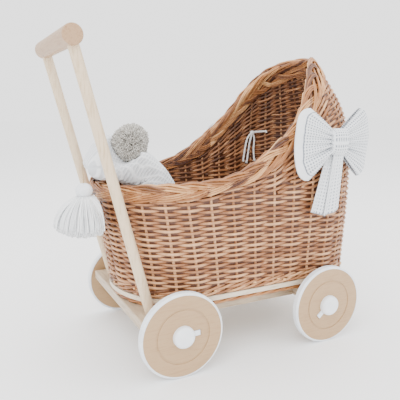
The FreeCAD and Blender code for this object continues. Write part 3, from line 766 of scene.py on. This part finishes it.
def lobe(sign, end):
    """One looped half of a bow and its tone; end is -1 for the rear half and 1 for the front. The tone is
    the waffle's relief, which paints shade into the hollows.
    """
    loop, across = np.meshgrid(np.linspace(0, 2, 180), np.linspace(-1, 1, 120), indexing="ij")
    reach = 1 - np.abs(loop - 1)
    front = np.where(loop < 1, 1.0, -1.0)
    edge_x = 64 + (LOBE_LENGTH - 64) * np.clip(1 - across ** 4, 0, 1) ** 0.5
    edge_z = LOBE_HALF * across * (1 - 0.06 * across)
    x = 6 + reach * (edge_x - 6)
    z = 14 * across + (edge_z - 14 * across) * reach ** 0.9
    puff = 6.0 * np.sqrt(np.clip(1 - (2 * reach - 1) ** 2, 0, 1)) * (1 - 0.55 * across ** 4)
    gather = (1 - reach) ** 1.1 * np.clip(reach * 8, 0, 1)
    pleat = 3.6 * gather * np.cos(math.pi * (across * 5.5 + 0.35 * np.sin(4 * across + end)))
    fold = -8.0 * np.exp(-((across + 0.42 + 0.2 * reach) / 0.11) ** 2) * gather ** 0.7
    roll = 1.6 * np.sin(across * 5 + end) * reach
    cloth_up, cloth_along = across * LOBE_HALF, reach * LOBE_LENGTH
    relief = waffle(cloth_up, cloth_along)
    if end < 0:
        relief = relief * np.clip((LOBE_LENGTH - LOBE_HEM - cloth_along) / 1.5, 0.08, 1)
        # The seam's dip also lowers the tone: painted shade in the seam's crease.
        seam = np.exp(-((LOBE_LENGTH - LOBE_HEM - cloth_along) / 1.3) ** 2)
        relief = relief - 0.8 * seam
    y = front * (puff + RIDGE * relief) + pleat + fold * (front > 0) + roll
    x, y = end * x, sign * y
    if end < 0 and sign > 0:
        x, z = (x * math.cos(DROOP) - z * math.sin(DROOP),
                x * math.sin(DROOP) + z * math.cos(DROOP))
    if end > 0:
        angle = -sign * BOW_WRAP
        x, y = (x * math.cos(angle) - y * math.sin(angle),
                x * math.sin(angle) + y * math.cos(angle))
    if end < 0:
        relief = np.where(cloth_along > LOBE_LENGTH - LOBE_HEM, HEM_TONE, relief)
    return np.stack([BOW_X + x, sign * BOW_OFFSET + y, BOW_Z + z], -1), relief


TAILS = {"rear": (6.0, [(-16, -10), (6, -10), (-22, -136), (-50, -128)], 0.0),
         "front": (-1.5, [(-6, -10), (14, -10), (8, -126), (-24, -136)], 1.2)}


def make_bows():
    for side, sign in SIDES.items():
        for end, label in ((-1, "rear"), (1, "front")):
            grid, relief = lobe(sign, end)
            piece = grid_piece("bow_%s_%s_lobe" % (side, label), grid, 1.1, look="waffle",
                               slot="waffle_bow", tone=relief.ravel())
            if end < 0:
                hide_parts("bow_%s" % side)
        for label, (gap, outline, phase) in TAILS.items():
            down, across = np.meshgrid(np.linspace(0, 1, 110), np.linspace(0, 1, 40), indexing="ij")
            corner = np.array(outline, float)
            left = corner[0] + (corner[3] - corner[0]) * down[..., None]
            right = corner[1] + (corner[2] - corner[1]) * down[..., None]
            flat = left + (right - left) * across[..., None]
            ripple = 2.4 * np.cos(2 * math.pi * (1.15 * across + 0.12 * down) + phase)
            # The tail's tone is its relief: painted shade in the hollows; the last strip at the tail's end
            # is flat and takes the hollows' grey.
            relief = waffle(across * 33, down * 124) * np.clip((1 - down) * 40, 0.1, 1)
            y = -sign * gap + sign * (ripple * (0.35 + 0.65 * down) + RIDGE * relief)
            grid = np.stack([BOW_X + flat[..., 0], sign * BOW_OFFSET + y,
                             BOW_Z + flat[..., 1]], -1)
            name = "bow_%s_tail_%s" % (side, label)
            tail = grid_piece(name + "_cloth", grid, 3.0, look="waffle", slot="waffle_bow",
                              tone=relief.ravel())
            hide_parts(name)
        turn = np.linspace(0, 2 * math.pi, 150, endpoint=False)
        wide = np.linspace(-1, 1, 56)
        turn, wide = np.meshgrid(turn, wide, indexing="ij")
        power = 0.62
        tuck = 1 - 0.12 * np.abs(wide) ** 4 - 0.6 * np.abs(wide) ** 12
        y = 13 * np.sign(np.cos(turn)) * np.abs(np.cos(turn)) ** power * tuck
        z = 22 * np.sign(np.sin(turn)) * np.abs(np.sin(turn)) ** power * tuck
        x = 18 * wide * (1 - 0.1 * np.abs(np.sin(turn)) ** 4)
        # The knot's tone is its relief: painted shade in the hollows.
        relief = waffle(wide * 18, turn * 18, 5.2)
        bump = RIDGE * relief
        grid = np.stack([BOW_X + x, sign * BOW_OFFSET + y + bump * np.cos(turn),
                         BOW_Z + z + bump * np.sin(turn)], -1)
        name = "bow_%s_knot" % side
        knot = grid_piece(name + "_cloth", grid, 1.2, round_rows=True, look="waffle",
                          slot="waffle_bow", tone=relief.ravel())
        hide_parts(name)


make_bows()


# ---------------------------------------------------------------- pillow, pompom and mattress
POMPOM = np.array([-36.0, -28.0, 386.0])
POMPOM_RADIUS = 33.0
CLOTH_GRID, SWELL_CAP = 0.005, 0.004    # metres; a point of the cloth moves by the cap at most
SWELL_STEPS = 15
PILLOW_CELL, PUCKER = 5.2, 9.0     # the waffle's cell, and the pitch of the lobe's puckers
SAG_X, SAG_WIDTH, SAG = -44.0, 20.0, 13.0


def make_pompom():
    count = 5200
    k = np.arange(count) + 0.5
    tilt, turn = np.arccos(1 - 2 * k / count), math.pi * (1 + 5 ** 0.5) * k
    aim = np.stack([np.sin(tilt) * np.cos(turn), np.sin(tilt) * np.sin(turn), np.cos(tilt)], 1)
    aim = unit(aim + rng.normal(0, 0.07, aim.shape))
    lump = (1 + 0.05 * np.sin(3 * aim[:, 0] + 1) + 0.05 * np.sin(4 * aim[:, 2] + 2 * aim[:, 1])
            + rng.normal(0, 0.022, count))
    runs = []
    for direction, size in zip(aim, lump):
        far = POMPOM + direction * (POMPOM_RADIUS - 1.0) * size
        near = POMPOM + direction * 18
        bend = rng.normal(0, 1.1, 3)
        runs.append(([near, (near + far) / 2 + bend * 0.6, far + bend], (0.3, 0.5, 0.8),
                     np.array([0.95, 1.0, 0.8]), rng.uniform(0.0, 0.9), False))
    tubes("pompom_yarns", runs, 4, look="pompom", body="pillow_body", slot="pompom_yarn",
          stands_for=["pompom"])
    # A ball inside the yarns in the yarn's darkest tone: painted shade inside the pompom.
    turn, tilt = np.meshgrid(np.linspace(0, 2 * math.pi, 40, endpoint=False),
                             np.linspace(0.02, math.pi - 0.02, 24))
    ball = POMPOM + 24 * np.stack([np.sin(tilt) * np.cos(turn), np.sin(tilt) * np.sin(turn),
                                   np.cos(tilt)], -1)
    grid_piece("pompom_shade_heart", ball, round_columns=True, look="pompom", body="pillow_body",
               slot="pompom_yarn", tone=np.full(24 * 40, 0.0))


def apply_modifiers(obj):
    graph = bpy.context.evaluated_depsgraph_get()
    mesh = bpy.data.meshes.new_from_object(obj.evaluated_get(graph))
    obj.modifiers.clear()
    obj.data = mesh


def make_pillow():
    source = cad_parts["pillow"]
    obj = bpy.data.objects.new("pillow_case", source.data.copy())
    bpy.context.scene.collection.objects.link(obj)
    remesh = obj.modifiers.new("remesh", "REMESH")
    remesh.mode, remesh.voxel_size = "VOXEL", CLOTH_GRID
    soften = obj.modifiers.new("soften", "SMOOTH")
    soften.iterations, soften.factor = 14, 0.6
    bpy.context.view_layer.update()
    apply_modifiers(obj)
    start = np.array([v.co for v in obj.data.vertices], float)
    swell = obj.modifiers.new("swell", "CLOTH")
    swell.settings.use_pressure = True
    swell.settings.uniform_pressure_force = 4.0
    swell.settings.effector_weights.gravity = 0.0
    for step in range(1, SWELL_STEPS + 1):
        bpy.context.scene.frame_set(step)
    apply_modifiers(obj)
    bpy.context.scene.frame_set(1)
    moved = np.array([v.co for v in obj.data.vertices], float) - start
    size = np.linalg.norm(moved, axis=1, keepdims=True)
    moved *= np.minimum(1, SWELL_CAP / np.maximum(size, 1e-9))
    obj.data.vertices.foreach_set("co", (start + moved).astype(np.float32).ravel())
    finer = obj.modifiers.new("finer", "SUBSURF")
    finer.levels = finer.render_levels = 2
    bpy.context.view_layer.update()
    apply_modifiers(obj)

    mesh = obj.data
    place = np.array([v.co for v in mesh.vertices], float) / MM - [AXLE_X, 0, 0]
    normal = np.array([v.normal for v in mesh.vertices], float)
    ribs = waffle(place @ unit(np.array([0.35, 0.85, 0.4])),
                  place @ unit(np.array([0.75, -0.1, -0.66])), PILLOW_CELL)
    lobe_share = np.clip((-60 - place[:, 0]) / 18, 0, 1)
    puckers = 0.5 + 0.5 * np.cos((0.75 * place[:, 0] + 0.65 * place[:, 1]) * 2 * math.pi / PUCKER)
    hem = -1.2 * np.exp(-((place[:, 2] - 345 + 0.08 * place[:, 1]) / 1.8) ** 2) * lobe_share
    rise = (1 - lobe_share) * ribs + lobe_share * puckers + hem
    place = place + normal * (0.9 * rise - 0.5)[:, None]
    underside = np.clip((348 - place[:, 2]) / 16, 0, 1) * (place[:, 2] > 325)
    place[:, 2] -= SAG * np.exp(-((place[:, 0] - SAG_X) / SAG_WIDTH) ** 2) * underside
    # The tone is the waffle's rise, not below 0.5: painted shade in the hollows of the waffle.
    layer = mesh.attributes.new("tone", "FLOAT", "POINT")
    layer.data.foreach_set("value", np.maximum(rise, 0.5).astype(np.float32))
    mesh.vertices.foreach_set("co", to_frame(place).astype(np.float32).ravel())
    mesh.polygons.foreach_set("use_smooth", np.ones(len(mesh.polygons), bool))
    mesh.materials.clear()
    mesh.materials.append(LOOKS["waffle"])
    mesh.update()
    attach(obj, "pillow_body")
    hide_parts("pillow")


def make_mattress():
    low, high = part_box("mattress")
    base, top = low.z / MM, high.z / MM
    around = np.arange(200) / 200
    rings = []
    for inset, height in ((16, base + 0.5), (13.5, base + 6), (13, base + 11), (13.5, base + 16),
                          (16, top - 2), (22, top - 0.6), (40, top), (80, top + 0.3),
                          (120, top + 0.5), (134, top + 0.5)):
        line, _ = surface(around, 122.0 + 0 * around, -inset + 0 * around)
        line[:, 2] = height
        rings.append(line)
    grid = np.stack(rings)
    pad = grid_piece("mattress_pad", grid, round_columns=True, look="cotton",
                     slot="mattress_cotton")
    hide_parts("mattress")


make_pompom()
make_pillow()
make_mattress()

# ---------------------------------------------------------------- materials of the CAD pieces
CAD_LOOKS = (("handle_bar", "bar"), ("handle_post", "post"), ("rear_cross", "board"),
             ("front_cross", "board"), ("rail", "rail"), ("runner", "rail"), ("wheel_disc", "disc"),
             ("tyre", "tyre"), ("hub_cap", "cap"), ("base_board", "band"), ("bearer_screws", "steel"),
             ("base_screws", "steel"), ("rear_axle_spacers", "spacer"),
             ("front_axle_spacers", "spacer"), ("rear_axle", "steel"), ("front_axle", "steel"),
             ("rear_bearer", "board"), ("front_bearer", "board"), ("frame_dowels", "post"))


def dress_cad_pieces():
    for name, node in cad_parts.items():
        for start, look in CAD_LOOKS:
            if name.startswith(start):
                node.data.materials.clear()
                node.data.materials.append(LOOKS[look])
                break


dress_cad_pieces()
